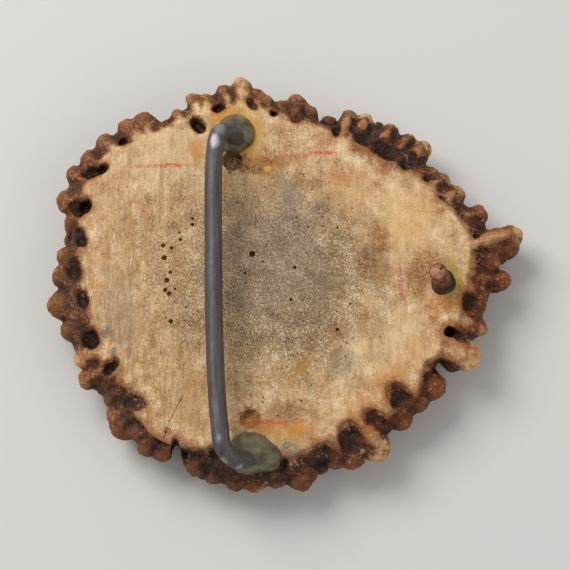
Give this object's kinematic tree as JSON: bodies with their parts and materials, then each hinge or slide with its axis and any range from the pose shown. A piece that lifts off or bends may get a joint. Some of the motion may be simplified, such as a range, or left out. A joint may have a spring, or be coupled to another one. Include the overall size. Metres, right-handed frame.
{
  "type": "antler belt buckle",
  "caption": "Belt buckle made from a slice of elk antler burr, shown from its sawn back, with a bent steel belt loop, a copper prong and epoxy at their feet.",
  "frame": {"origin": "on the surface that the buckle lies on, under the middle of the slice", "axes": "+X from the belt loop to the prong, +Y along the loop's bar, +Z out of the sawn back"},
  "size_m": [0.0876, 0.0772, 0.0203],
  "materials": {
    "antler_bone": "sawn cream bone, matt, with a natural knobby brown rim",
    "steel_wire": "dull dark grey wire, scuffed brighter at the bends",
    "copper_rod": "worn copper, filed end",
    "epoxy": "cloudy greenish grey glue, satin",
    "dark_epoxy": "dark olive glue, glossy"
  },
  "bodies": {
    "root": {"antler_slice": "antler_bone", "belt_loop": "steel_wire", "prong": "copper_rod", "loop_glue_top": "epoxy", "loop_glue_bottom": "epoxy", "prong_glue": "dark_epoxy"}
  },
  "joints": []
}
